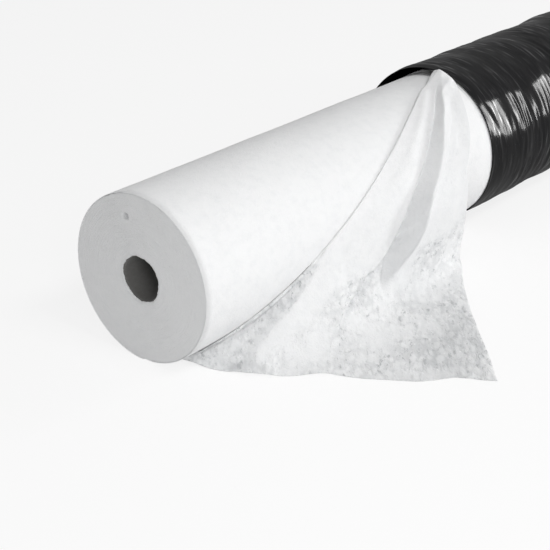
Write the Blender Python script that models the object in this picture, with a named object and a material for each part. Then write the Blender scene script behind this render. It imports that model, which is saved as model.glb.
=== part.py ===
"""Roll of white nonwoven geotextile on a cardboard core, lying on the floor.

The open end faces -X. There the last turn is peeled off and laid on the floor towards -Y.
The far end is still inside its loose black film sleeve, which is tucked into the core.
The origin is on the floor under the roll's axis, half way along the roll.
"""
import math

import bpy
import bmesh
from mathutils import Vector

# Driving sizes, in metres
ROLL_LENGTH = 2.000
ROLL_DIAMETER = 0.290
CORE_BORE = 0.076
CORE_WALL = 0.005
CORE_RECESS = 0.004
FABRIC_THICKNESS = 0.0012
TURN_GAP = 0.0005
TOUCH_GAP = 0.0003
FLAT_DEPTH = 0.0005
OPEN_LENGTH = 0.788
FILM_WALL = 0.0006
FILM_SLACK = 0.009
FILM_RISE = 0.0064
FILM_END_GAP = 0.003
FILM_PLEAT_DEPTH = 0.004
FILM_RIPPLE = 0.0015
TUCK_LENGTH = 0.110
TUCK_CLEARANCE = 0.002
TUCK_MOUTH = 0.012
PRESS_LENGTH = 0.020
SEAM_GAP = 0.0005
ROW_GAP = 0.004

# The peeled flap: where it lies, in metres
LEAD_LAP = 0.0915
FOLD_RADIUS = 0.004
HUG_LIFT = 0.010
RIDGE_TOE = 0.060
FOLD_START = 0.120
FOLD_END = 0.550
FOLD_FADE = 0.150
FOLD_EDGE = 0.030

# Counts
TURN_STEPS = 48
BORE_STEPS = 48
FILM_RINGS = 13
FACE_RINGS = 5
TUCK_RINGS = 4
FOLD_COLUMNS = 5
FLAP_COLUMNS = 20
LINE_STEPS = 16

# Shares of the open length along the roll, and of the roll's radius away from its axis
RIDGE_RISE_SHARE = 0.453
FLAP_END_SHARE = 0.992
CORNER_SHARES = (0.390, 3.300)
LANDING_SHARES = (
    (0.0, 0.35), (0.04, 0.62), (0.13, 1.28), (0.25, 1.65), (0.38, 1.76), (0.57, 1.62),
    (0.84, 1.22), (1.0, 1.17),
)
SELVEDGE_SHARES = (
    (0.0, 0.25), (0.03, 0.42), (0.08, 1.00), (0.136, 1.48), (0.19, 1.74), (0.217, 2.04),
    (0.29, 2.64), (0.349, 2.90),
)
LEAD_SHARES = ((0.456, 2.99), (0.571, 2.37), (0.704, 1.745), (0.782, 1.434), (0.837, 1.226))
HANGING_SHARES = (
    (0.834, 1.92), (0.893, 1.45), (0.926, 1.15), (0.944, 0.89), (0.961, 0.72), (0.980, 0.53), (1.0, 0.38),
)
FOLD_SHARES = ((33.0, 4.0, 0.45), (42.0, 4.5, -0.62), (52.0, 5.0, 0.80), (64.0, 5.0, -0.20))
BEND_SHARE = 0.45

# Angles, in degrees
LEAVE_ANGLE = 95.0
TOE_ANGLE = 20.0
NEAR_ANGLE = 1.0

RADIUS = ROLL_DIAMETER / 2
PITCH = FABRIC_THICKNESS + TURN_GAP
BOTTOM_RADIUS = RADIUS - PITCH / 2
AXIS_HEIGHT = BOTTOM_RADIUS - FLAT_DEPTH
CORE_RADIUS = CORE_BORE / 2 + CORE_WALL
HALF = ROLL_LENGTH / 2
FILM_RADIUS = RADIUS + FILM_SLACK
FILM_AXIS_HEIGHT = AXIS_HEIGHT + FILM_RISE
FILM_LIFT = FILM_WALL + TOUCH_GAP
NARROW = math.degrees(math.acos(1 - FLAT_DEPTH / BOTTOM_RADIUS))
WIDE = math.degrees(math.acos(1 - (FLAT_DEPTH + FILM_LIFT) / BOTTOM_RADIUS))
RIDGE_BASE = math.pi * RADIUS - RIDGE_RISE_SHARE * OPEN_LENGTH

for old in list(bpy.data.objects):
    bpy.data.objects.remove(old, do_unlink=True)


def material(name, colour, roughness, metallic=0.0):
    """One plain Principled material."""
    made = bpy.data.materials.new(name)
    made.use_nodes = True
    shader = made.node_tree.nodes["Principled BSDF"]
    shader.inputs["Base Color"].default_value = (*colour, 1.0)
    shader.inputs["Roughness"].default_value = roughness
    shader.inputs["Metallic"].default_value = metallic
    return made


def add_object(name, mesh_data, finish, sharp_angle=35.0):
    """Turns a bmesh into a named, smooth-shaded object."""
    bmesh.ops.recalc_face_normals(mesh_data, faces=mesh_data.faces)
    mesh = bpy.data.meshes.new(name)
    mesh_data.to_mesh(mesh)
    mesh_data.free()
    mesh.shade_smooth()
    mesh.set_sharp_from_angle(angle=math.radians(sharp_angle))
    made = bpy.data.objects.new(name, mesh)
    bpy.context.collection.objects.link(made)
    made.data.materials.append(finish)
    return made


def between(table, at):
    """Straight-line value of a table of (place, value) pairs."""
    if at <= table[0][0]:
        return table[0][1]
    for (a, low), (b, high) in zip(table, table[1:]):
        if at <= b:
            return low + (high - low) * (at - a) / (b - a)
    return table[-1][1]


def ease(value):
    """Smooth step from 0 to 1."""
    value = min(max(value, 0.0), 1.0)
    return value * value * (3 - 2 * value)


# The core tube: spiral-wound board, a little shorter than the fabric


def make_core_tube():
    """A tube turned round the roll's axis."""
    mesh_data = bmesh.new()
    inner, outer = CORE_BORE / 2, CORE_BORE / 2 + CORE_WALL
    end = HALF - CORE_RECESS
    profile = [(-end, inner), (end, inner), (end, outer), (-end, outer)]
    rings = []
    for step in range(BORE_STEPS):
        turn = 2 * math.pi * step / BORE_STEPS
        rings.append([
            mesh_data.verts.new((x, r * math.sin(turn), AXIS_HEIGHT + r * math.cos(turn)))
            for x, r in profile
        ])
    for here, there in zip(rings, rings[1:] + rings[:1]):
        for k in range(len(profile)):
            nxt = (k + 1) % len(profile)
            mesh_data.faces.new((here[k], here[nxt], there[nxt], there[k]))
    return add_object("core_tube", mesh_data, material("core_board", (0.42, 0.40, 0.37), 0.85))


# The wound fabric: a plain core of turns, and the last turns as one unbroken spiral


def turn_angles():
    """Angles of one turn, from the flat's edge round to its other edge, rising up the -Y side."""
    step = 360.0 / TURN_STEPS
    even = [k * step for k in range(TURN_STEPS) if WIDE + step / 2 < k * step < 360 - WIDE - step / 2]
    return [NARROW, WIDE, *even, 360 - WIDE, 360 - NARROW]


def near_flat(angle):
    """True for the columns that the flat bends."""
    away = abs((angle + 180) % 360 - 180)
    return away < WIDE + NEAR_ANGLE


def floor_height(station):
    """Height of the roll's resting flat: it is pressed up a little where the film lies under it."""
    return FILM_LIFT * ease((station - OPEN_LENGTH + PRESS_LENGTH) / (PRESS_LENGTH / 2))


def wound_point(station, angle, depth):
    """A point of the spiral: angle in degrees up the -Y side from the bottom of the first turn."""
    radius = RADIUS - PITCH * (540 - angle) / 360 - depth
    turn = math.radians(angle)
    turns_out = 1 - round(angle / 360)
    y = -radius * math.sin(turn)
    z = AXIS_HEIGHT - radius * math.cos(turn)
    lowest = floor_height(station) + turns_out * PITCH + depth
    if near_flat(angle):
        z = max(z, lowest)
    return Vector((station - HALF, y, z))


def press_stations():
    """Stations where the resting flat steps up on to the film."""
    return [OPEN_LENGTH - PRESS_LENGTH, OPEN_LENGTH - PRESS_LENGTH / 2]


def strip(mesh_data, left, right):
    """Faces between two columns of vertices: quads where they match, else one many-sided face.

    Facing layers are made in the same order, so that their bent quads are split alike.
    """
    if len(left) == len(right):
        for k in range(len(left) - 1):
            mesh_data.faces.new((left[k], left[k + 1], right[k + 1], right[k]))
    else:
        mesh_data.faces.new(left + right[::-1])


def make_windings(finish):
    """The turns below the last ones, as one plain body whose outside follows the spiral."""
    mesh_data = bmesh.new()
    gap = math.degrees(TOUCH_GAP / RADIUS)
    angles = [a for a in turn_angles() if a >= WIDE]
    angles = [WIDE - gap] + angles[1:] + [360 + NARROW, 360 + WIDE - gap]
    depth = FABRIC_THICKNESS + TOUCH_GAP
    bore = CORE_RADIUS + TOUCH_GAP
    outer, inner = [], []
    for angle in angles:
        stations = [0.0, ROLL_LENGTH]
        if near_flat(angle):
            stations = [0.0, *press_stations(), ROLL_LENGTH]
        outer.append([mesh_data.verts.new(wound_point(s, angle, depth)) for s in stations])
    for angle in angles[:-1]:
        turn = math.radians(angle)
        inner.append([
            mesh_data.verts.new((s - HALF, -bore * math.sin(turn), AXIS_HEIGHT - bore * math.cos(turn)))
            for s in (0.0, ROLL_LENGTH)
        ])
    inner.append(inner[0])
    for k in range(len(angles) - 1):
        strip(mesh_data, outer[k], outer[k + 1])
        strip(mesh_data, inner[k + 1], inner[k])
        for side, order in ((0, 1), (-1, -1)):
            corners = [outer[k][side], inner[k][side], inner[k + 1][side], outer[k + 1][side]]
            if k == len(angles) - 2:
                corners.insert(3, outer[0][side])
            mesh_data.faces.new(corners[::order])
    strip(mesh_data, outer[-1], outer[0])
    return add_object("fabric_windings", mesh_data, finish)


def ridge_station(height):
    """Station of the peel line at an arc length above the bottom line: it reaches the top at the film."""
    straight = (height - RIDGE_BASE) / RIDGE_RISE_SHARE
    return (straight + math.hypot(straight, 2 * RIDGE_TOE)) / 2


def make_outer_turn(finish):
    """The last turn and a half, one unbroken spiral that ends at the peel line."""
    mesh_data = bmesh.new()
    last = 540 + math.degrees(LEAD_LAP / RADIUS)
    angles = [a for a in turn_angles() if a >= WIDE]
    angles += [360 + a for a in turn_angles()]
    angles += [720 + a for a in turn_angles()]
    angles = [a for a in angles if a < last - NEAR_ANGLE] + [last]
    columns = []
    for angle in angles:
        start = 0.0
        if angle > 360:
            start = ridge_station(RADIUS * math.radians(angle - 360))
        stations = [start, ROLL_LENGTH]
        if near_flat(angle):
            stations = [start, *press_stations(), ROLL_LENGTH]
        columns.append((
            [mesh_data.verts.new(wound_point(s, angle, 0.0)) for s in stations],
            [mesh_data.verts.new(wound_point(s, angle, FABRIC_THICKNESS)) for s in stations],
        ))
    for (outer, inner), (next_outer, next_inner) in zip(columns, columns[1:]):
        strip(mesh_data, outer, next_outer)
        strip(mesh_data, inner, next_inner)
        mesh_data.faces.new((outer[0], inner[0], next_inner[0], next_outer[0]))
        mesh_data.faces.new((outer[-1], next_outer[-1], next_inner[-1], inner[-1]))
    for outer, inner in (columns[0], columns[-1]):
        mesh_data.faces.new(outer + inner[::-1])
    return add_object("fabric_outer_turn", mesh_data, finish)


def least_self_gap():
    """Least gap between the last turn's inside and the turn under it, measured on points."""
    least = RADIUS
    for angle in turn_angles():
        for station in (OPEN_LENGTH / 4, OPEN_LENGTH, ROLL_LENGTH - OPEN_LENGTH / 4):
            above = wound_point(station, angle + 360, FABRIC_THICKNESS)
            for near in turn_angles():
                if near >= WIDE:
                    least = min(least, (above - wound_point(station, near, 0.0)).length)
    return least


# The peeled flap: folds back over the peel line, drops off the roll and lies on the floor


def ridge_columns():
    """(station, angle) places of the peel line, one for each column of the wound fabric."""
    angles = [WIDE] + [a for a in turn_angles() if WIDE < a < 360 - WIDE]
    return [(ridge_station(RADIUS * math.radians(a)), a) for a in angles]


def ridge_angle(station):
    """Angle of the peel line up from the bottom, at a station."""
    return between(ridge_columns(), station)


def facet_radius(radius, angle):
    """Distance from the axis to the flat facet between two columns, at an angle between them."""
    angles = turn_angles()
    low = max([a for a in angles if a <= angle], default=angles[0])
    high = min([a for a in angles if a > angle], default=angles[-1])
    half = math.radians((high - low) / 2)
    return radius * math.cos(half) / math.cos(math.radians(angle - low) - half)


def heading_step(angle):
    """Direction in a cross-section: 0 is away from the roll along the floor, 90 is down."""
    turn = math.radians(angle)
    return Vector((-math.cos(turn), -math.sin(turn)))


def flap_path(station):
    """Middle line of the flap in the cross-section at a station, as dense (y, z) points."""
    lift = ridge_angle(station)
    middle = facet_radius(RADIUS - FABRIC_THICKNESS / 2, lift)

    def on_roll(radius, angle):
        turn = math.radians(angle)
        return Vector((-radius * math.sin(turn), AXIS_HEIGHT - radius * math.cos(turn)))

    after = (180 - LEAVE_ANGLE) * min(lift / LEAVE_ANGLE, 1.0)
    if lift > LEAVE_ANGLE:
        after = 180 - lift
    centre = on_roll(middle, lift) + heading_step(-lift) * SEAM_GAP + heading_step(90 - lift) * FOLD_RADIUS
    points = []
    for k in range(FOLD_COLUMNS + 1):
        angle = -lift + (after + lift) * k / FOLD_COLUMNS
        points.append(centre + heading_step(angle - 90) * FOLD_RADIUS)
    if lift > LEAVE_ANGLE:
        steps = 2 + int((lift - LEAVE_ANGLE) / 3)
        first = (points[-1] - Vector((0.0, AXIS_HEIGHT))).length
        for k in range(1, steps + 1):
            radius = first + (RADIUS + HUG_LIFT - first) * ease(k / steps)
            points.append(on_roll(radius, lift + (LEAVE_ANGLE - lift) * k / steps))
    start, out = points[-1], heading_step(after)
    landing = Vector((-RADIUS * between(LANDING_SHARES, station / OPEN_LENGTH), FABRIC_THICKNESS / 2))
    reach = BEND_SHARE * (landing - start).length
    handle = start + out * reach
    settle = landing - heading_step(0) * min(reach, start.x - landing.x)
    for k in range(1, 25):
        t = k / 24
        a, b, c, d = (1 - t) ** 3, 3 * t * (1 - t) ** 2, 3 * t * t * (1 - t), t ** 3
        points.append(a * start + b * handle + c * settle + d * landing)
    points.append(landing + heading_step(0) * (4 * RADIUS))
    return points


def along(points, length):
    """Point of a line of points at a length from its start, and the line's normal there."""
    for a, b in zip(points, points[1:]):
        step = (b - a).length
        if length <= step:
            way = (b - a) / step
            return a + way * length, Vector((way.y, -way.x))
        length -= step
    return b, Vector((0.0, 1.0))


def fold_length(points):
    """Length of the rounded fold at the start of the flap's line of points."""
    return sum((b - a).length for a, b in zip(points[:FOLD_COLUMNS], points[1:FOLD_COLUMNS + 1]))


def floor_length(station, reach):
    """Length along the flap to the place that lies at a distance from the roll's middle line."""
    points = flap_path(station)
    length = found = 0.0
    for a, b in zip(points, points[1:]):
        low, high = -a.x, -b.x
        if low <= reach <= high:
            found = length + (b - a).length * (reach - low) / (high - low)
        length += (b - a).length
    return found


def hanging_length(station, past_top):
    """Length along the flap to the place that hangs at an arc length past the roll's top."""
    turned = RADIUS * math.radians(180 - ridge_angle(station))
    return past_top - turned + fold_length(flap_path(station))


def edge_place(station_share, reach_share, measure):
    """(station, length) place of a point of the free edge."""
    station = OPEN_LENGTH * station_share
    return Vector((station, measure(station, RADIUS * reach_share)))


def even_points(places, count):
    """Evenly spaced places on the smooth line through a few (station, length) places."""
    line = []
    for k in range(len(places) - 1):
        a, b = places[k], places[k + 1]
        before, after = places[max(k - 1, 0)], places[min(k + 2, len(places) - 1)]
        for n in range(LINE_STEPS):
            t = n / LINE_STEPS
            start, finish = (b - before) / 2, (after - a) / 2
            rise, turn = 3 * (b - a) - 2 * start - finish, 2 * (a - b) + start + finish
            line.append(a + start * t + rise * t * t + turn * t ** 3)
    line.append(places[-1])
    total = sum((b - a).length for a, b in zip(line, line[1:]))
    return [along(line, total * k / count)[0] for k in range(count + 1)]


def fold_lift(station, length):
    """Height of the fan of folds that spreads from the point where the film holds the flap."""
    ahead = OPEN_LENGTH - station
    down = RADIUS * math.radians(180 - ridge_angle(station)) + length
    far = math.hypot(ahead, down)
    angle = math.degrees(math.atan2(down, ahead))
    wave = sum(height * math.exp(-((angle - at) / width) ** 2) for at, width, height in FOLD_SHARES)
    grow = ease(far / FOLD_START) * (1 - ease((far - FOLD_END) / FOLD_FADE))
    return HUG_LIFT * wave * grow * ease((length - 2 * FOLD_RADIUS) / FOLD_EDGE)


def flap_places():
    """Rows of (station, length) places from the fold to the lead edge; the last row is the selvedge."""
    last = OPEN_LENGTH * FLAP_END_SHARE
    stations = [s for s, angle in ridge_columns() if angle > TOE_ANGLE and s < last - ROW_GAP] + [last]
    stations.reverse()
    rows = len(stations) - 1
    lead = [edge_place(s, r, hanging_length) for s, r in HANGING_SHARES[::-1]]
    lead[0].x = last
    lead += [edge_place(s, r, floor_length) for s, r in (*LEAD_SHARES[::-1], CORNER_SHARES)]
    lead = even_points(lead, rows)
    folds = [fold_length(flap_path(station)) for station in stations]
    toe = stations[-1]
    selvedge = [edge_place(s, r, floor_length) for s, r in SELVEDGE_SHARES]
    selvedge = [place for place in selvedge if place.x > toe + ROW_GAP]
    selvedge = even_points([Vector((toe, folds[-1])), *selvedge, lead[-1]], FLAP_COLUMNS)
    grid = []
    for i, station in enumerate(stations):
        start, finish, u = Vector((station, folds[i])), lead[i], i / rows
        row = [Vector((station, folds[i] * k / FOLD_COLUMNS)) for k in range(FOLD_COLUMNS)]
        for k in range(FLAP_COLUMNS + 1):
            v = k / FLAP_COLUMNS
            bow = selvedge[k] - selvedge[0].lerp(selvedge[-1], v)
            row.append(start.lerp(finish, v) + bow * u)
        grid.append(row)
    return grid


def make_loose_tail(finish):
    """The flap as a sheet of the fabric's thickness."""
    grid = []
    for places in reversed(flap_places()):
        row = []
        for station, length in places:
            at, out = along(flap_path(station), length)
            at = at + out * fold_lift(station, length)
            row.append(Vector((station - HALF, at.x, max(at.y, FABRIC_THICKNESS / 2))))
        grid.append(row)
    mesh_data = bmesh.new()
    rows, columns = len(grid), len(grid[0])
    upper, lower = [], []
    for i in range(rows):
        upper.append([])
        lower.append([])
        for j in range(columns):
            along_roll = grid[min(i + 1, rows - 1)][j] - grid[max(i - 1, 0)][j]
            across = grid[i][min(j + 1, columns - 1)] - grid[i][max(j - 1, 0)]
            normal = across.cross(along_roll).normalized() * (FABRIC_THICKNESS / 2)
            over, under = grid[i][j] + normal, grid[i][j] - normal
            shift = max(0.0, -min(over.z, under.z))
            up = Vector((0.0, 0.0, shift))
            upper[i].append(mesh_data.verts.new(over + up))
            lower[i].append(mesh_data.verts.new(under + up))
    for i in range(rows - 1):
        for j in range(columns - 1):
            places = [(i, j), (i + 1, j), (i + 1, j + 1), (i, j + 1)]
            if (grid[i][j] - grid[i + 1][j + 1]).length > (grid[i + 1][j] - grid[i][j + 1]).length:
                places = places[1:] + places[:1]
            for half in ((0, 1, 2), (0, 2, 3)):
                corners = [places[n] for n in half]
                mesh_data.faces.new([upper[k][m] for k, m in corners])
                mesh_data.faces.new([lower[k][m] for k, m in corners[::-1]])
    rim = [(i, 0) for i in range(rows)] + [(rows - 1, j) for j in range(1, columns)]
    rim += [(i, columns - 1) for i in range(rows - 2, -1, -1)] + [(0, j) for j in range(columns - 2, 0, -1)]
    for (i, j), (k, m) in zip(rim, rim[1:] + rim[:1]):
        mesh_data.faces.new((upper[k][m], upper[i][j], lower[i][j], lower[k][m]))
    return add_object("loose_tail", mesh_data, finish, 60.0)


# The film sleeve: a loose tube of black film, pleated over the far end and tucked into the core


def film_ring(x, radius, centre, depth, lowest):
    """One ring of film: (angle, point) places round the axis, flat where it meets the floor."""
    ring = []
    for angle in turn_angles():
        turn = math.radians(angle)
        y = -(radius - depth) * math.sin(turn)
        z = centre - (radius - depth) * math.cos(turn)
        if near_flat(angle) and lowest is not None:
            z = lowest + depth
        ring.append(Vector((x, y, z)))
    return ring


def make_film_sleeve(finish):
    """Outside and inside skins of the film, joined at the mouth and at the end of the tuck."""
    radius = FILM_RADIUS
    mouth = OPEN_LENGTH - HALF
    end = HALF + FILM_END_GAP + FILM_WALL
    skins = []
    for depth in (0.0, FILM_WALL):
        rings = []
        for k in range(FILM_RINGS):
            share = k / (FILM_RINGS - 1)
            x = mouth + (HALF - mouth) * share
            ripple = FILM_RIPPLE * (-1) ** k * math.sin(math.pi * share)
            rings.append(film_ring(x, radius + ripple, FILM_AXIS_HEIGHT, depth, 0.0))
        tuck_radius = CORE_BORE / 2 - TUCK_CLEARANCE
        for k in range(1, FACE_RINGS + 1):
            share = k / FACE_RINGS
            ring_radius = radius + (tuck_radius - radius) * share
            centre = FILM_AXIS_HEIGHT + (AXIS_HEIGHT - FILM_AXIS_HEIGHT) * share
            flat = film_ring(end, ring_radius, centre, 0.0, None)
            pleat = FILM_PLEAT_DEPTH * math.sin(math.pi * min(share, 0.85))
            rings.append([
                Vector((p.x - depth + pleat * (n % 2), p.y, p.z)) for n, p in enumerate(flat)
            ])
        inner_x = HALF - TUCK_LENGTH
        for k in range(1, TUCK_RINGS + 1):
            share = k / TUCK_RINGS
            ring_radius = tuck_radius + (TUCK_MOUTH - tuck_radius) * share ** 2
            x = end + (inner_x - end) * share
            rings.append(film_ring(x, ring_radius - FILM_WALL + depth, AXIS_HEIGHT, 0.0, None))
        skins.append(rings)
    mesh_data = bmesh.new()
    outside, inside = [[[mesh_data.verts.new(p) for p in ring] for ring in rings] for rings in skins]
    for rings in (outside, inside):
        for here, there in zip(rings, rings[1:]):
            for k in range(len(here)):
                nxt = (k + 1) % len(here)
                mesh_data.faces.new((here[k], here[nxt], there[nxt], there[k]))
    for k in range(len(outside[0])):
        nxt = (k + 1) % len(outside[0])
        mesh_data.faces.new((outside[0][k], inside[0][k], inside[0][nxt], outside[0][nxt]))
        mesh_data.faces.new((outside[-1][nxt], inside[-1][nxt], inside[-1][k], outside[-1][k]))
    return add_object("film_sleeve", mesh_data, finish, 50.0)


fabric = material("white_nonwoven", (0.90, 0.90, 0.90), 0.90)
make_core_tube()
make_windings(fabric)
make_outer_turn(fabric)
make_loose_tail(fabric)
make_film_sleeve(material("black_film", (0.015, 0.015, 0.017), 0.25))
print(f"least gap of the spiral to itself: {least_self_gap() * 1000:.2f} mm")
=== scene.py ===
"""Roll of white nonwoven geotextile on a cardboard core.

The last turn is peeled off at the open end and laid on the floor, and the far end is still in
its loose black film sleeve. The axis lies along X, the open end faces -X.
"""
import math

import bpy
import bmesh
import numpy as np
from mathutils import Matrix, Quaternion, Vector


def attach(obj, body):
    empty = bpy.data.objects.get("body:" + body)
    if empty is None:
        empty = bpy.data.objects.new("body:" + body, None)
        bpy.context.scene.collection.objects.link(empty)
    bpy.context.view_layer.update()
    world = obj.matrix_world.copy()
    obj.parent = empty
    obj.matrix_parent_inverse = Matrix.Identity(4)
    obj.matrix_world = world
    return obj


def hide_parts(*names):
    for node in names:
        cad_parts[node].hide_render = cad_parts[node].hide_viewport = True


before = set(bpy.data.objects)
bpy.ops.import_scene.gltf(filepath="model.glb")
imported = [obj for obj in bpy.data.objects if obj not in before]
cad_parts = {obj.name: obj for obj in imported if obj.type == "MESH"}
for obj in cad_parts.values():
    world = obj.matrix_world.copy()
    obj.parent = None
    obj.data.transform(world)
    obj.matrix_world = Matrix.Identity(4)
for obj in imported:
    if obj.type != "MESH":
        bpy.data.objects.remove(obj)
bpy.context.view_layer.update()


# The core is a tube of spiral-wound grey board, 3 inches inside. Its plies show as slanting seams in the
# bore. The web is wound on it.

AXIS_HEIGHT = 0.14365
CORE_BORE_RADIUS = 0.038
CORE_PLY_WIDTH = 0.105
BOARD = (0.21, 0.207, 0.20)
BOARD_DARK = (0.12, 0.118, 0.112)


class Wire:
    """A socket of a material: sums and products of wires and numbers add their Math nodes."""

    def __init__(self, tree, socket=None):
        self.tree, self.socket = tree, socket

    def node(self, kind, settings=None, inputs=None, output=0):
        """Any node: its settings first, then the values or wires of its sockets."""
        made = self.tree.nodes.new(kind)
        for name, value in (settings or {}).items():
            setattr(made, name, value)
        for name, value in (inputs or {}).items():
            if isinstance(value, Wire):
                self.tree.links.new(value.socket, made.inputs[name])
            else:
                made.inputs[name].default_value = value
        return Wire(self.tree, made.outputs[output])

    def math(self, operation, a, b=0.0):
        return self.node("ShaderNodeMath", {"operation": operation}, {0: a, 1: b})

    def __add__(self, other):
        return self.math("ADD", self, other)

    __radd__ = __add__

    def __mul__(self, other):
        return self.math("MULTIPLY", self, other)

    __rmul__ = __mul__

    def __sub__(self, other):
        return self.math("SUBTRACT", self, other)

    def __rsub__(self, other):
        return self.math("SUBTRACT", other, self)

    def within(self, low, high, to_low=0.0, to_high=1.0):
        """The wire's own range brought to another, smoothly and clamped."""
        settings = {"interpolation_type": "SMOOTHSTEP"}
        values = {"Value": self, "From Min": low, "From Max": high, "To Min": to_low, "To Max": to_high}
        return self.node("ShaderNodeMapRange", settings, values)

    def between(self, low, high):
        """A colour between two, by this wire."""
        low, high = (side if isinstance(side, Wire) else (*side, 1.0) for side in (low, high))
        settings = {"data_type": "RGBA", "clamp_factor": True}
        return self.node("ShaderNodeMix", settings, {0: self, 6: low, 7: high}, output=2)


def finish_named(name, roughness, **fixed):
    """A new material: its tree as a wire, its shader, and its object coordinates."""
    made = bpy.data.materials.new(name)
    made.use_nodes = True
    tree = made.node_tree
    shader = tree.nodes["Principled BSDF"]
    shader.inputs["Roughness"].default_value = roughness
    for socket, value in fixed.items():
        shader.inputs[socket.replace("_", " ")].default_value = value
    place = Wire(tree).node("ShaderNodeTexCoord", output=3)
    return made, Wire(tree), shader, place


def feed(shader, **wires):
    """Links wires to the shader's sockets by name."""
    for socket, wire in wires.items():
        wire.tree.links.new(wire.socket, shader.inputs[socket.replace("_", " ")])


def noise(wire, place, scale, detail=2.0, rough=0.5, stretch=None):
    """Noise on a place, stretched by a vector where one is given."""
    if stretch:
        settings = {"vector_type": "POINT"}
        place = wire.node("ShaderNodeMapping", settings, {"Vector": place, "Scale": stretch})
    values = {"Vector": place, "Scale": scale, "Detail": detail, "Roughness": rough}
    return wire.node("ShaderNodeTexNoise", {"noise_dimensions": "3D"}, values)


def bumped(wire, shader, height, depth):
    """A bump of a height wire, in metres of depth, on the shader's normal."""
    values = {"Height": height, "Distance": depth, "Strength": 1.0}
    feed(shader, Normal=wire.node("ShaderNodeBump", None, values))


def make_board():
    made, wire, shader, place = finish_named("core_board_wound", 0.9)
    axes = [wire.node("ShaderNodeSeparateXYZ", None, {"Vector": place}, output=k) for k in range(3)]
    turn = wire.math("ARCTAN2", axes[1], axes[2] - AXIS_HEIGHT) * (1 / (2 * math.pi))
    ply = wire.math("FRACT", axes[0] * (1 / CORE_PLY_WIDTH) + turn)
    seam = wire.math("ABSOLUTE", ply - 0.5).within(0.012, 0.004)
    fibre = noise(wire, place, 260.0, 4.0, 0.7, (0.5, 1.0, 1.0))
    stain = noise(wire, place, 14.0, 3.0, 0.6)
    tone = fibre * 0.35 + stain * 0.5 + seam * 0.5
    feed(shader, Base_Color=tone.within(0.2, 0.95).between(BOARD, BOARD_DARK))
    feed(shader, Roughness=fibre.within(0.2, 0.8, 0.82, 0.97))
    bumped(wire, shader, fibre * 0.4 - seam, 0.0006)
    return made


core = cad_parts["core_tube"]
board = make_board()
for slot in core.material_slots:
    slot.material = board


# The wound web under its last turns: needle-punched polyester felt, 1.2 mm thick, wound on the
# core in one spiral. 58 turns of 1.6 mm stand for its eighty or so. Their edges make the
# layered, uneven end faces, and the first few are pressed over the core's ends.

PITCH = 0.0017
FIRST_RADIUS = 0.0441
LAST_RADIUS = 0.14249
LAYER_THICKNESS = 0.0016
ROLL_LENGTH = 2.0
FLAT_DEPTH = 0.0005
POINTS_A_TURN = 160
START_ANGLE = 8.0
UNEVEN = 0.0012
WOBBLE_SCALE = 26.0
WOBBLE_DEPTHS = (0.004, 0.030)
RAGGED = 0.0011
EDGE_SCALES = (18.0, 520.0)
# The layers are made standing, along Z, and laid down along X at the end of their tree. The nick is
# given as they stand; the painted shade in it is given as they lie.
NICK = (-0.1008, 0.0278, -1.0)
NICK_RADII = (0.0075, 0.0020)
NICK_DEPTH = 0.0060
NICK_PLACE = (NICK[2] + NICK_DEPTH / 2, NICK[1], AXIS_HEIGHT - NICK[0])
NICK_PAINTED_SHADE = (0.0085, 0.0030, 0.0, 0.60)
RIM_POINTS = 180
RIM_RADII = (0.0392, 0.0446)
RIM_RAGGED = 0.0009
RIM_RIPPLE = 0.0003
RIM_WAVES = (2, 3, 5, 7, 11, 17, 26, 41)
RIM_PROFILE = (
    (0.0, 0.0032), (0.0, 0.0014), (0.10, 0.0004), (0.28, 0.0009), (0.40, 0.0002),
    (0.60, 0.0008), (0.74, 0.0001), (1.0, 0.0012), (1.0, 0.0032),
)
PULL = math.radians(40.0)
PULL_STRETCH = (2.1, 1.0, 1.0)
WHITE = (0.90, 0.905, 0.91)
WHITE_SHADE = (0.83, 0.84, 0.85)
# The grey of the thinner felt, also used as painted shade.
THIN_AND_SHADE_GREY = (0.52, 0.53, 0.54)


def linked(name, data):
    """A new object of some data, linked to the scene."""
    made = bpy.data.objects.new(name, data)
    bpy.context.collection.objects.link(made)
    return made


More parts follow.
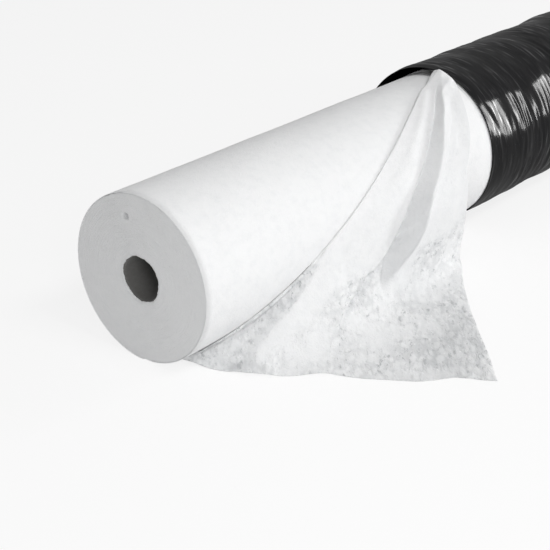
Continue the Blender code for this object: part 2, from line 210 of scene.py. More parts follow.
class Steps:
    """A geometry node tree built step by step, with named inputs."""

    def __init__(self, name, **numbers):
        self.tree = bpy.data.node_groups.new(name, "GeometryNodeTree")
        self.values = {}
        kinds = {int: "NodeSocketInt", float: "NodeSocketFloat"}
        self.socket("Geometry", "INPUT", "NodeSocketGeometry")
        for label, value in numbers.items():
            made = self.socket(label.replace("_", " "), "INPUT", kinds[type(value)])
            self.values[made.identifier] = value
        self.socket("Geometry", "OUTPUT", "NodeSocketGeometry")
        self.start = self.tree.nodes.new("NodeGroupInput")
        self.end = self.tree.nodes.new("NodeGroupOutput")

    def socket(self, name, side, kind):
        return self.tree.interface.new_socket(name=name, in_out=side, socket_type=kind)

    def input(self, name):
        return self.start.outputs[name]

    def add(self, kind, settings=None, inputs=None, output=0):
        """A node: its settings first, then the values or sockets of its inputs."""
        node = self.tree.nodes.new(kind)
        for name, value in (settings or {}).items():
            setattr(node, name, value)
        for name, value in (inputs or {}).items():
            if isinstance(value, bpy.types.NodeSocket):
                self.tree.links.new(value, node.inputs[name])
            else:
                node.inputs[name].default_value = value
        return node.outputs[output]

    def math(self, operation, a, b=0.0):
        return self.add("ShaderNodeMath", {"operation": operation}, {0: a, 1: b})

    def finish(self, geometry, material):
        """Realizes, gives the material, and ends the tree."""
        whole = self.add("GeometryNodeRealizeInstances", None, {"Geometry": geometry})
        given = self.add("GeometryNodeSetMaterial", None, {"Geometry": whole, "Material": material})
        self.tree.links.new(given, self.end.inputs["Geometry"])

    def make(self, name):
        """The tree's result as a plain mesh object."""
        carrier = linked(name, bpy.data.meshes.new(name))
        modifier = carrier.modifiers.new("Steps", "NODES")
        modifier.node_group = self.tree
        for identifier, value in self.values.items():
            modifier[identifier] = value
        graph = bpy.context.evaluated_depsgraph_get()
        result = bpy.data.meshes.new_from_object(carrier.evaluated_get(graph))
        carrier.modifiers.remove(modifier)
        carrier.data = result
        result.name = name
        return carrier


def make_felt(name, clumps=1.0, peeled=False):
    """Needle-punched felt: matted fibres and needle marks, with thinner places and painted shade where
    it is peeled, and painted shade in the nick of the end faces.
    """
    made, wire, shader, place = finish_named(
        name, 0.92, Sheen_Weight=0.15, Sheen_Roughness=0.5, Subsurface_Weight=0.35 if peeled else 0.0,
        Subsurface_Radius=(1.0, 1.0, 1.0), Subsurface_Scale=0.003,
    )
    cloud = noise(wire, place, 9.0, 4.0, 0.6)
    clump = noise(wire, place, 62.0, 5.0, 0.65)
    fibre = noise(wire, place, 380.0, 4.0, 0.75, (0.7, 0.7, 1.0))
    marks = wire.node("ShaderNodeTexVoronoi", {"feature": "F1"}, {"Vector": place, "Scale": 330.0})
    tone = cloud * 0.35 + clump.within(0.35, 0.75) * (0.35 * clumps) + fibre * 0.25
    felt = tone.within(0.25, 0.95).between(WHITE, WHITE_SHADE)
    height = clump * (0.5 * clumps) + fibre * 0.35 + marks * 0.25
    if peeled:
        # The first attribute greys the thinner places and paints shade in the hollow, along the trough's
        # crease and by the toe; the second is painted shade on the deep fold and beyond it.
        thin_and_painted_shade, painted_shade = (
            wire.node("ShaderNodeAttribute", {"attribute_name": label}, output=2)
            for label in ("thin_and_painted_shade", "painted_shade")
        )
        pulled = wire.node("ShaderNodeMapping", {"vector_type": "TEXTURE"}, {
            "Vector": place, "Rotation": (0.0, 0.0, PULL), "Scale": PULL_STRETCH,
        })
        bent = {"Vector": pulled, "Scale": 55.0, "Detail": 3.0}
        bent = wire.node("ShaderNodeTexNoise", None, bent, output=1)
        bent = wire.node("ShaderNodeVectorMath", {"operation": "MULTIPLY_ADD"}, {
            0: bent, 1: (0.016, 0.016, 0.016), 2: pulled,
        })
        tuft = wire.node("ShaderNodeTexVoronoi", {"feature": "F1"}, {"Vector": bent, "Scale": 90.0})
        hole = noise(wire, bent, 120.0, 3.0, 0.7).within(0.56, 0.68)
        patch = noise(wire, pulled, 24.0, 4.0, 0.65).within(0.38, 0.56)
        speck = noise(wire, bent, 210.0, 2.0, 0.6)
        loose = (thin_and_painted_shade * 4.0).within(0.0, 1.0)
        mottle = tuft.within(0.25, 0.70) * 0.40 + hole * 0.9 + speck.within(0.66, 0.74) * 0.9
        mottle = mottle * (0.15 + patch * 0.85) - speck.within(0.36, 0.28) * 0.35
        felt = (mottle * loose * (1.05 + thin_and_painted_shade * 0.05) + thin_and_painted_shade * 0.43 + painted_shade).between(felt, THIN_AND_SHADE_GREY)
        height = height + ((1.0 - tuft) * 0.9 + patch * 1.2 - hole * 0.5) * loose
    else:
        # Painted shade in the nick of the open end face, darkest in its middle.
        nick = {0: place, 1: NICK_PLACE}
        nick = wire.node("ShaderNodeVectorMath", {"operation": "DISTANCE"}, nick, output=1)
        felt = nick.within(*NICK_PAINTED_SHADE).between(felt, THIN_AND_SHADE_GREY)
    feed(shader, Base_Color=felt)
    feed(shader, Roughness=fibre.within(0.2, 0.8, 0.86, 0.98))
    bumped(wire, shader, height, 0.0011)
    return made


felt_edges = make_felt("felt_wound_edges", 0.6)


def make_wound_layers():
    turns = (LAST_RADIUS - FIRST_RADIUS) / PITCH
    steps = Steps(
        "wound_layers", Turns=turns, Pitch=PITCH, First_radius=FIRST_RADIUS, Length=ROLL_LENGTH,
        Thickness=LAYER_THICKNESS, Flat=FLAT_DEPTH, Uneven=UNEVEN, Ragged=RAGGED,
        Points=int(turns * POINTS_A_TURN),
    )
    line = steps.add("GeometryNodeMeshLine", {"mode": "OFFSET"}, {"Count": steps.input("Points")})
    index = steps.add("GeometryNodeInputIndex")
    share = steps.math("DIVIDE", index, steps.math("SUBTRACT", steps.input("Points"), 1.0))
    turned = steps.math("MULTIPLY", share, steps.input("Turns"))
    wound = steps.math("MULTIPLY", turned, steps.input("Pitch"))
    radius = steps.math("ADD", steps.input("First radius"), wound)
    back = steps.math("SUBTRACT", turned, turns)
    angle = steps.math("ADD", steps.math("MULTIPLY", back, 2 * math.pi), math.radians(START_ANGLE))
    flat_place = steps.add("ShaderNodeCombineXYZ", None, {
        0: steps.math("MULTIPLY", steps.math("COSINE", angle), radius),
        1: steps.math("MULTIPLY", steps.math("SINE", angle), radius),
    })
    wobble = steps.add("ShaderNodeTexNoise", None, {
        "Vector": flat_place, "Scale": WOBBLE_SCALE, "Detail": 2.0,
    })
    wobble = steps.math("MULTIPLY", steps.math("SUBTRACT", wobble, 0.5), steps.input("Uneven"))
    inside = steps.add("ShaderNodeMapRange", {"interpolation_type": "SMOOTHSTEP"}, {
        "Value": radius,
        "From Min": LAST_RADIUS - WOBBLE_DEPTHS[0], "From Max": LAST_RADIUS - WOBBLE_DEPTHS[1],
    })
    middle = steps.math("SUBTRACT", steps.math("ADD", radius, steps.math("MULTIPLY", wobble, inside)),
                        steps.math("MULTIPLY", steps.input("Thickness"), 0.5))
    down = steps.math("MINIMUM", steps.math("MULTIPLY", steps.math("COSINE", angle), middle),
                      steps.math("SUBTRACT", middle, steps.input("Flat")))
    across = steps.math("MULTIPLY", steps.math("SINE", angle), steps.math("MULTIPLY", middle, -1.0))
    spiral = steps.add("ShaderNodeCombineXYZ", None, {0: down, 1: across})
    placed = steps.add("GeometryNodeSetPosition", None, {"Geometry": line, "Position": spiral})
    curve = steps.add("GeometryNodeMeshToCurve", None, {"Mesh": placed})
    curve = steps.add("GeometryNodeSetCurveNormal", {"mode": "Z_UP"}, {"Curve": curve})
    profile = steps.add("GeometryNodeCurvePrimitiveQuadrilateral", None, {
        "Width": steps.input("Thickness"), "Height": steps.input("Length"),
    })
    swept = steps.add("GeometryNodeCurveToMesh", None, {
        "Curve": curve, "Profile Curve": profile, "Fill Caps": True,
    })
    where = steps.add("GeometryNodeInputPosition")
    axes = [steps.add("ShaderNodeSeparateXYZ", None, {0: where}, output=k) for k in range(3)]
    end = steps.math("SIGN", axes[2])
    around = steps.add("ShaderNodeCombineXYZ", None, {
        0: steps.math("MULTIPLY", axes[0], EDGE_SCALES[0]),
        1: steps.math("MULTIPLY", axes[1], EDGE_SCALES[0]),
        2: end,
    })
    from_axis = steps.add("ShaderNodeVectorMath", {"operation": "LENGTH"}, {
        0: steps.add("ShaderNodeCombineXYZ", None, {0: axes[0], 1: axes[1]}),
    }, output=1)
    layer = steps.add("ShaderNodeTexNoise", {"noise_dimensions": "4D"}, {
        "Vector": around, "W": steps.math("MULTIPLY", from_axis, EDGE_SCALES[1]),
        "Scale": 1.0, "Detail": 1.0,
    })
    nick = steps.add("ShaderNodeVectorMath", {"operation": "DISTANCE"}, {0: where, 1: NICK}, output=1)
    nick = steps.add("ShaderNodeMapRange", {"interpolation_type": "SMOOTHSTEP"}, {
        "Value": nick, "From Min": NICK_RADII[0], "From Max": NICK_RADII[1], "To Max": NICK_DEPTH,
    })
    draw_in = steps.math("ADD", steps.math("MULTIPLY", layer, steps.input("Ragged")), nick)
    draw_in = steps.math("MULTIPLY", draw_in, end)
    laid = steps.add("ShaderNodeCombineXYZ", None, {
        0: steps.math("SUBTRACT", axes[2], draw_in),
        1: axes[1],
        2: steps.math("SUBTRACT", AXIS_HEIGHT, axes[0]),
    })
    roll = steps.add("GeometryNodeSetPosition", None, {"Geometry": swept, "Position": laid})
    roll = steps.add("GeometryNodeSetShadeSmooth", None, {"Geometry": roll, "Shade Smooth": False})
    steps.finish(roll, felt_edges)
    return steps.make("wound_layers")


def make_rim(name, end):
    """The first turns' edges, pressed over the end of the core: a ragged ring with a few ridges."""
    rng = np.random.default_rng(17)
    turn = np.linspace(0, 2 * math.pi, RIM_POINTS, endpoint=False)
    ragged = sum(
        np.sin(turn * count + rng.random() * 6.28) * RIM_RAGGED / count ** 0.45 for count in RIM_WAVES
    )
    inner = RIM_RADII[0] + ragged
    rings = []
    for share, depth in RIM_PROFILE:
        radius = inner + (RIM_RADII[1] - inner) * share
        wave = RIM_RIPPLE * np.sin(turn * 9 + 14 * share)
        x = end * (ROLL_LENGTH / 2 - depth - np.abs(wave) * (depth < 0.002))
        rings.append(np.stack([x, -radius * np.sin(turn), AXIS_HEIGHT - radius * np.cos(turn)], axis=-1))
    mesh = bmesh.new()
    made = [[mesh.verts.new(p) for p in ring] for ring in rings]
    for here, there in zip(made, made[1:] + made[:1]):
        for k in range(len(turn)):
            nxt = (k + 1) % len(turn)
            mesh.faces.new((here[k], here[nxt], there[nxt], there[k]))
    bmesh.ops.recalc_face_normals(mesh, faces=mesh.faces)
    data = bpy.data.meshes.new(name)
    mesh.to_mesh(data)
    mesh.free()
    data.shade_smooth()
    data.materials.append(felt_edges)
    rim = linked(name, data)
    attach(rim, "roll")


wound_layers = make_wound_layers()
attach(wound_layers, "roll")
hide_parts("fabric_windings")
make_rim("first_turns_open_end", -1.0)
make_rim("first_turns_far_end", 1.0)


# The last turn and a half of the web and the flap peeled off it: one unbroken piece of felt,
# turned back over the peel line, which is held at the film's mouth and runs down to the floor.

RADIUS = 0.145
THICKNESS = 0.0012
OPEN_LENGTH = 0.788
RIDGE_RISE = 0.453
RIDGE_TOE = 0.060
RIDGE_BASE = math.pi * RADIUS - RIDGE_RISE * OPEN_LENGTH
MOUTH_BEND = 6.0
FOLD_RADIUS = 0.003
FOLD_STEPS = 10
HANG_STEPS = 40
SMOOTHINGS = 40
LEAD_SMOOTHINGS = 60
TIGHT_FOLD = 0.0010
HUG_LIFT = 0.010
LEAVE_ANGLE = 95.0
BEND_SHARE = 0.45
FOLD_START = 0.120
FOLD_END = 0.550
FOLD_FADE = 0.150
FOLD_EDGE = 0.030
# Angles count on along the web from the roll's bottom, so its top is at 180 and again at 540.
TOP_ANGLE = 540.0
LEAD_ANGLE = TOP_ANGLE + math.degrees(0.0915 / RADIUS)
TOE_ANGLE = 20.0
FLAP_END = 0.7817
FILM_LIFT = 0.0004
FLAP_COLUMNS = 104
WOUND_ROWS = np.concatenate([np.linspace(0, 0.40, 53), np.linspace(0.40, 1.0, 13)[1:]])
# Where the flap lands and where its edges lie: shares of the open length, and distances in radii.
LANDING = (
    (0.0, 0.35), (0.04, 0.62), (0.13, 1.28), (0.25, 1.65), (0.38, 1.76), (0.57, 1.62),
    (0.84, 1.22), (1.0, 1.17),
)
SELVEDGE = (
    (0.0, 0.25), (0.03, 0.42), (0.08, 1.00), (0.136, 1.48), (0.19, 1.74), (0.217, 2.04),
    (0.29, 2.64), (0.349, 2.90),
)
CORNER = (0.390, 3.300)
LEAD = ((0.456, 2.99), (0.571, 2.37), (0.704, 1.745), (0.782, 1.434), (0.837, 1.226))
HANGING = (
    (0.834, 1.92), (0.893, 1.45), (0.926, 1.15), (0.944, 0.89), (0.961, 0.72), (0.980, 0.53),
    (1.0, 0.38),
)
FOLDS = ((33.0, 4.0, 0.45), (64.0, 5.0, -0.20))
# The flap's forms in metres: stations from the open end, lengths along the flap from its fold.
VALLEY_LEFT = (
    (0.010, 0.775), (0.020, 0.752), (0.031, 0.731), (0.048, 0.683), (0.058, 0.648),
    (0.065, 0.620), (0.072, 0.595), (0.080, 0.570), (0.087, 0.547), (0.097, 0.518),
    (0.105, 0.488), (0.112, 0.459), (0.118, 0.436), (0.135, 0.420), (0.160, 0.400),
)
VALLEY_RIGHT = (
    (0.010, 0.785), (0.023, 0.757), (0.041, 0.736), (0.050, 0.715), (0.058, 0.696),
    (0.071, 0.654), (0.084, 0.624), (0.096, 0.594), (0.102, 0.576), (0.110, 0.551),
    (0.124, 0.522), (0.136, 0.502), (0.146, 0.482), (0.153, 0.466), (0.160, 0.452),
    (0.170, 0.440), (0.200, 0.420),
)
VALLEY_FADE = (
    (0.010, 0.1), (0.030, 0.6), (0.065, 1.0), (0.100, 1.05), (0.125, 1.15), (0.150, 1.15),
    (0.170, 0.45), (0.195, 0.0),
)
VALLEY_WIDTH = 0.160
VALLEY_PROFILE = ((-1.1, 0.0), (-0.12, 0.03), (0.12, -0.13), (0.92, 0.37), (1.04, 0.38), (2.5, 0.0))
POCKET_EDGE = (
    (0.030, 0.050), (0.060, 0.062), (0.094, 0.058), (0.112, 0.046), (0.132, 0.040),
    (0.151, 0.036), (0.181, 0.032), (0.208, 0.027), (0.241, 0.020), (0.265, 0.014),
    (0.290, 0.008),
)
POCKET_DEPTH = (
    (0.030, 0.001), (0.070, 0.012), (0.120, 0.020), (0.180, 0.017), (0.220, 0.011),
    (0.250, 0.006), (0.290, 0.0),
)
POCKET_PROFILE = ((0.0, -0.2), (0.22, -1.0), (0.50, -0.85), (1.0, 0.10), (1.2, 0.16), (2.2, 0.0))
# Painted shade on the deep fold's right wall, by length along the flap, and over the flap beyond the
# fold.
WALL_PAINTED_SHADE = ((0.03, 0.03), (0.07, 0.10), (0.10, 0.24), (0.13, 0.38), (0.155, 0.36), (0.180, 0.0))
BEYOND_PAINTED_SHADE = 0.22
CREASE_LINE = ((0.694, 0.117), (0.717, 0.162))
CREASE_DEPTH = 0.0042
CREASE_WIDTH = 0.009
TROUGH_AT = 0.128
TROUGH_ENDS = (0.235, 0.455)
TROUGH_DEPTH = 0.006
TROUGH_PROFILE = ((-0.045, 0.0), (-0.010, 0.55), (-0.002, -1.0), (0.006, -0.2), (0.030, 0.0))
TAB_HEIGHT = 0.016
LEAST_THIN = 0.05
SINGLE_THIN = 0.13
HOLLOW_PAINTED_SHADE = 0.37
# Places where the peeled layer is thinner, or lighter where the level is below 0: station, length, width
# along the stations, width along the flap, and level. The entries at (0.350, 0.128), along the trough's
# crease, and at (0.060, 0.050), in the hollow by the toe, are painted shade.
THIN_PLACES_AND_PAINTED_SHADE = (
    (0.385, 0.345, 0.085, 0.050, 0.88), (0.300, 0.330, 0.050, 0.050, 0.65),
    (0.460, 0.345, 0.050, 0.022, 0.30), (0.350, 0.128, 0.060, 0.010, 0.45),
    (0.470, 0.186, 0.040, 0.030, -0.15), (0.190, 0.110, 0.060, 0.035, -0.15),
    (0.060, 0.050, 0.030, 0.060, 0.35), (0.225, 0.260, 0.030, 0.030, 0.30),
    (0.300, 0.205, 0.055, 0.035, -0.12), (0.480, 0.260, 0.060, 0.035, -0.12),
)
SINGLE_EDGE = (
    (0.10, 0.045), (0.195, 0.055), (0.276, 0.061), (0.356, 0.086), (0.440, 0.150),
    (0.515, 0.170), (0.605, 0.225),
)


def ease(value):
    value = np.clip(value, 0.0, 1.0)
    return value * value * (3 - 2 * value)


def ramp(value, start, width):
    """Rises smoothly from 0 at the start to 1 a width further on."""
    return ease((value - start) / width)


def ridge_angle(station):
    """Angle of the peel line at a station, up from the roll's bottom. It bends at the film's mouth."""
    straight = station - RIDGE_TOE ** 2 / station
    bend = MOUTH_BEND * ramp(station, 0.70, 0.09)
    return np.degrees((RIDGE_BASE + RIDGE_RISE * straight) / RADIUS) - bend


RIDGE_STATIONS = np.linspace(0.004, 0.85, 847)
RIDGE_ANGLES = ridge_angle(RIDGE_STATIONS)


def ridge_station(angle):
    """Station of the peel line at an angle."""
    return np.interp(angle, RIDGE_ANGLES, RIDGE_STATIONS)


def curve_at(pairs, at):
    """Values of a table at a place or an array of places."""
    places, values = zip(*pairs)
    return np.interp(at, places, values)


def heading(angle):
    """Direction in a cross-section: 0 is away from the roll along the floor, 90 is down."""
    turn = math.radians(angle)
    return Vector((-math.cos(turn), -math.sin(turn)))


def on_roll(radius, angle):
    turn = math.radians(angle)
    return Vector((-radius * math.sin(turn), AXIS_HEIGHT - radius * math.cos(turn)))


def flap_path(station):
    """The flap's middle line in the cross-section at a station, from the fold to the floor."""
    lift = float(ridge_angle(station))
    round_by = TIGHT_FOLD + (FOLD_RADIUS - TIGHT_FOLD) * float(ramp(station, 0.40, 0.30))
    after = (180 - LEAVE_ANGLE) * min(lift / LEAVE_ANGLE, 1.0)
    if lift > LEAVE_ANGLE:
        after = 180 - lift
    centre = on_roll(RADIUS - THICKNESS / 2, lift) + heading(90 - lift) * round_by
    turns = [-lift + (after + lift) * k / FOLD_STEPS for k in range(FOLD_STEPS + 1)]
    points = [centre + heading(turn - 90) * round_by for turn in turns]
    if lift > LEAVE_ANGLE:
        steps = 3 + int((lift - LEAVE_ANGLE) / 2)
        first = (points[-1] - Vector((0.0, AXIS_HEIGHT))).length
        rise = (RADIUS + HUG_LIFT - first) * float(ramp(lift, LEAVE_ANGLE, 35))
        for k in range(1, steps + 1):
            radius = first + rise * float(ease(k / steps))
            points.append(on_roll(radius, lift + (LEAVE_ANGLE - lift) * k / steps))
    start, out = points[-1], heading(after)
    landing = Vector((-RADIUS * curve_at(LANDING, station / OPEN_LENGTH), THICKNESS / 2))
    reach = BEND_SHARE * (landing - start).length
    handle = start + out * reach
    settle = landing - heading(0) * min(reach, start.x - landing.x)
    for k in range(1, HANG_STEPS + 1):
        t = k / HANG_STEPS
        a, b, c, d = (1 - t) ** 3, 3 * t * (1 - t) ** 2, 3 * t * t * (1 - t), t ** 3
        points.append(a * start + b * handle + c * settle + d * landing)
    points.append(landing + heading(0) * (5 * RADIUS))
    return points


TABLE_STEP = 0.003
TABLE_STATIONS = np.linspace(0.020, 0.800, 261)
TABLE_LENGTHS = np.arange(0.0, 1.05, TABLE_STEP)


def flap_table():
    """Cross-section points (y, z) on a grid of stations and lengths along the flap."""
    rows, folds = [], []
    for station in TABLE_STATIONS:
        points = np.array([tuple(p) for p in flap_path(float(station))])
        run = np.concatenate([[0.0], np.cumsum(np.hypot(*np.diff(points, axis=0).T))])
        row = np.stack([np.interp(TABLE_LENGTHS, run, points[:, n]) for n in (0, 1)], axis=-1)
        start = int(run[FOLD_STEPS] / TABLE_STEP) + 4
        for _ in range(SMOOTHINGS):
            row[start:-1] = row[start:-1] / 2 + (row[start - 1 : -2] + row[start + 1 :]) / 4
        rows.append(row)
        folds.append(run[FOLD_STEPS])
    return np.array(rows), np.array(folds)


FLAP_TABLE, FOLD_LENGTHS = flap_table()


def on_flap(station, length):
    """Points (y, z) of the flap at stations and lengths, by straight lines in the table."""
    first, second = TABLE_STATIONS[:2]
    a = np.clip((station - first) / (second - first), 0, len(TABLE_STATIONS) - 1.001)
    b = np.clip(length / TABLE_STEP, 0, len(TABLE_LENGTHS) - 1.001)
    i, j = a.astype(int), b.astype(int)
    u, v = (a - i)[..., None], (b - j)[..., None]
    low = FLAP_TABLE[i, j] * (1 - v) + FLAP_TABLE[i, j + 1] * v
    high = FLAP_TABLE[i + 1, j] * (1 - v) + FLAP_TABLE[i + 1, j + 1] * v
    return low * (1 - u) + high * u


def floor_length(station, reach):
    """Length along the flap to the place that lies at a distance from the roll's middle line."""
    row = on_flap(np.full(TABLE_LENGTHS.shape, station), TABLE_LENGTHS)
    out = -row[:, 0]
    last = np.nonzero((out[:-1] <= reach) & (out[1:] >= reach))[0][-1]
    share = (reach - out[last]) / max(out[last + 1] - out[last], 1e-9)
    return float(TABLE_LENGTHS[last] + TABLE_STEP * share)


def fold_length(station):
    return float(np.interp(station, TABLE_STATIONS, FOLD_LENGTHS))


def hanging_length(station, past_top):
    """Length along the flap to the place at an arc length past the roll's top."""
    return past_top - RADIUS * math.radians(180 - float(ridge_angle(station))) + fold_length(station)


def edge_place(pair, measure):
    station = OPEN_LENGTH * pair[0]
    return Vector((station, measure(station, RADIUS * pair[1])))


def even_points(places, count):
    """Evenly spaced places on the smooth line through a few places."""
    line = []
    for k in range(len(places) - 1):
        a, b = places[k], places[k + 1]
        before, after = places[max(k - 1, 0)], places[min(k + 2, len(places) - 1)]
        for n in range(32):
            t = n / 32
            start, finish = (b - before) / 2, (after - a) / 2
            rise, turn = 3 * (b - a) - 2 * start - finish, 2 * (a - b) + start + finish
            line.append(a + start * t + rise * t * t + turn * t ** 3)
    line.append(places[-1])
    line = np.array([tuple(p) for p in line])
    run = np.concatenate([[0.0], np.cumsum(np.hypot(*np.diff(line, axis=0).T))])
    at = np.linspace(0.0, run[-1], count + 1)
    return np.stack([np.interp(at, run, line[:, n]) for n in (0, 1)], axis=-1)


def ripple(a, b, seed, count=24, low=1.0, high=4.0):
    """Soft noise over two coordinates, as a sum of seeded sine waves of unequal lengths."""
    rng = np.random.default_rng(seed)
    total = np.zeros(np.broadcast(a, b).shape)
    for _ in range(count):
        size = low * (high / low) ** rng.random()
        way = rng.random() * 2 * math.pi
        total += np.sin((a * math.cos(way) + b * math.sin(way)) * size + rng.random() * 6.28) / size
    return total * low / math.sqrt(count / 2)


def fan(station, length):
    """Height of the folds that spread from the place where the film holds the flap."""
    ahead = OPEN_LENGTH - station
    turned = RADIUS * np.radians(180 - ridge_angle(station))
    down = turned + length
    far = np.hypot(ahead, down)
    angle = np.degrees(np.arctan2(down, ahead))
    wave = sum(height * np.exp(-((angle - at) / width) ** 2) for at, width, height in FOLDS)
    grow = ease(far / FOLD_START) * (1 - ramp(far, FOLD_END, FOLD_FADE))
    return HUG_LIFT * wave * grow * ramp(length, 2 * FOLD_RADIUS, FOLD_EDGE)


def valley(station, length):
    """A deep fold: its left wall drops at once, its right wall rises evenly and faces the open end."""
    left, right = curve_at(VALLEY_LEFT, length), curve_at(VALLEY_RIGHT, length)
    width = VALLEY_WIDTH * np.tanh(np.maximum(right - left, 0.012) / VALLEY_WIDTH)
    return width * curve_at(VALLEY_PROFILE, (station - left) / width) * curve_at(VALLEY_FADE, length)


def pocket(station, length):
    """The hollow between the roll's last layer and the flap near the open end."""
    profile = curve_at(POCKET_PROFILE, length / curve_at(POCKET_EDGE, station))
    return curve_at(POCKET_DEPTH, station) * profile * (station < POCKET_EDGE[-1][0])


def trough(station, length):
    """The crease that carries the deep fold on along the floor, steep on the roll's side."""
    ends = ramp(station, TROUGH_ENDS[0], 0.05) * (1 - ramp(station, TROUGH_ENDS[1], 0.04))
    away = length - TROUGH_AT - 0.004 * ripple(station * 60, 0 * station, 21, 12)
    return TROUGH_DEPTH * ends * curve_at(TROUGH_PROFILE, away)


def pressed_crease(station, length):
    """A short crease pressed in by handling."""
    (a, b), (c, d) = CREASE_LINE
    share = ((station - a) * (c - a) + (length - b) * (d - b)) / ((c - a) ** 2 + (d - b) ** 2)
    share = np.clip(share, 0.0, 1.0)
    off = np.hypot(station - a - share * (c - a), length - b - share * (d - b))
    return CREASE_DEPTH * np.exp(-((off / CREASE_WIDTH) ** 2)) * (1 - (2 * share - 1) ** 4)


def thinness_and_painted_shade(station, length):
    """How thinly the peeled layer is drawn out, 0 on the roll and up to 1 in the thinnest places, with
    painted shade added in the hollow near the open end, along the trough's crease and by the toe.
    """
    thin_and_painted_shade = ramp(length, curve_at(SINGLE_EDGE, station), 0.030) * SINGLE_THIN + LEAST_THIN
    for at, down, wide, long, level in THIN_PLACES_AND_PAINTED_SHADE:
        thin_and_painted_shade = thin_and_painted_shade + level * np.exp(-((station - at) / wide) ** 2 - ((length - down) / long) ** 2)
    # Painted shade in the hollow between the roll's last layer and the flap near the open end, up to the
    # fold.
    hollow = 1 - ramp(length / curve_at(POCKET_EDGE, station), 0.85, 0.25)
    return np.clip(thin_and_painted_shade + HOLLOW_PAINTED_SHADE * (hollow * (1 - ramp(station, 0.22, 0.07))), 0.0, 1.0)


def painted_fold_shade(station, length):
    """Painted shade on the deep fold's right wall, and lighter painted shade on the flap beyond it."""
    left, right = curve_at(VALLEY_LEFT, length), curve_at(VALLEY_RIGHT, length)
    across = (station - left) / np.maximum(right - left, 0.012)
    wall = curve_at(WALL_PAINTED_SHADE, length) * ramp(across, -0.05, 0.20)
    wall = wall * (1 - ramp(across, 0.90, 0.12))
    beyond = BEYOND_PAINTED_SHADE * ramp(across, 0.92, 0.14) * ramp(length, 0.03, 0.05)
    return wall + beyond * (1 - ramp(length, 0.22, 0.10))


def mouth_tab(station, length):
    """The flap stands up to the film's rim where the film lets go of it."""
    near = np.exp(-((length - 0.018) / 0.05) ** 2) * ease(length / 0.012)
    return TAB_HEIGHT * ramp(station, 0.725, 0.05) * near


def wound_columns():
    """Angles of the wound part's columns: closer together where the flap hangs on them."""
    fine = np.arange(360.0 + TOE_ANGLE, 360.0 + ridge_angle(FLAP_END), 1.0)
    fine = np.append(fine, 360.0 + ridge_angle(FLAP_END))
    before = np.linspace(START_ANGLE, fine[0], 181)[:-1]
    after = np.linspace(fine[-1], LEAD_ANGLE, 24)[1:]
    return np.concatenate([before, fine, after]), len(before), len(before) + len(fine)


def peel_start(angle):
    """Whether the last turn is peeled at an angle, and the station where it starts there."""
    peeled = angle > 360 + TOE_ANGLE
    return peeled, np.where(peeled, ridge_station(np.minimum(angle, TOP_ANGLE) - 360), 0.0)


def swelling(station, angle):
    """How far the loosened last turns stand off the roll ahead of the film's mouth."""
    peeled, start = peel_start(angle)
    puffed = ramp(station, 0.66, 0.10) * (1 - ramp(station, 0.80, 0.12))
    puffed = puffed * ramp(station - start, 0.02, 0.09)
    puffed = puffed * peeled * ramp(angle, 385, 40) * (1 - ramp(angle, 520, 30))
    return (0.0062 - 0.0046 * np.cos(np.radians(angle))) * puffed


def wound_place(station, angle):
    """Middle of the web on the roll, pressed flat where it lies on the floor."""
    radius = RADIUS - PITCH * (TOP_ANGLE - angle) / 360 - THICKNESS / 2
    turn = np.radians(angle)
    floor = FILM_LIFT * ramp(station - OPEN_LENGTH, -0.020, 0.010)
    lowest = floor + (1 - np.round(angle / 360)) * PITCH + THICKNESS / 2
    crinkle = 0.0005 * ripple(station * 22, turn * 3.4, 5, 30, 1.0, 5.0)
    crinkle = crinkle * ramp(angle, 20, 30) * (1 - ramp(angle, 200, 60))
    crinkle = crinkle * (1 - ramp(station, 0.72, 0.05))
    radius = radius + np.clip(crinkle, -0.0002, 0.002)
    peeled, start = peel_start(angle)
    pinched = np.exp(-np.maximum(station - start, 0.0) / 0.012) * peeled
    radius = radius + swelling(station, angle) - 0.00045 * pinched
    y = -radius * np.sin(turn)
    z = AXIS_HEIGHT - radius * np.cos(turn)
    near = np.abs((angle + 180) % 360 - 180) < 9.0
    z = np.where(near, np.maximum(z, lowest), z)
    return np.stack([station - ROLL_LENGTH / 2, y, z], axis=-1)


def flap_places(stations):
    """Grid of (station, length) places, in rows from the mouth's end to the toe."""
    rows = len(stations) - 1
    lead = [edge_place(pair, hanging_length) for pair in HANGING[::-1]]
    lead[0].x = stations[0]
    lead += [edge_place(pair, floor_length) for pair in (*LEAD[::-1], CORNER)]
    lead = even_points(lead, rows)
    for _ in range(LEAD_SMOOTHINGS):
        lead[1:-1] = lead[1:-1] / 2 + (lead[:-2] + lead[2:]) / 4
    toe = stations[-1]
    selvedge = [edge_place(pair, floor_length) for pair in SELVEDGE]
    selvedge = [place for place in selvedge if place.x > toe + 0.004]
    corner = Vector(lead[-1])
    selvedge = even_points([Vector((toe, fold_length(toe))), *selvedge, corner], FLAP_COLUMNS)
    grid = []
    share = np.linspace(0.0, 1.0, FLAP_COLUMNS + 1)[:, None]
    for i, station in enumerate(stations):
        fold = fold_length(station)
        first = np.stack([np.full(8, station), fold * np.arange(8) / 8], axis=-1)
        start = np.array([station, fold])
        bow = selvedge - (selvedge[0] * (1 - share) + selvedge[-1] * share)
        grid.append(np.concatenate([first, start * (1 - share) + lead[i] * share + bow * (i / rows)]))
    return np.array(grid)


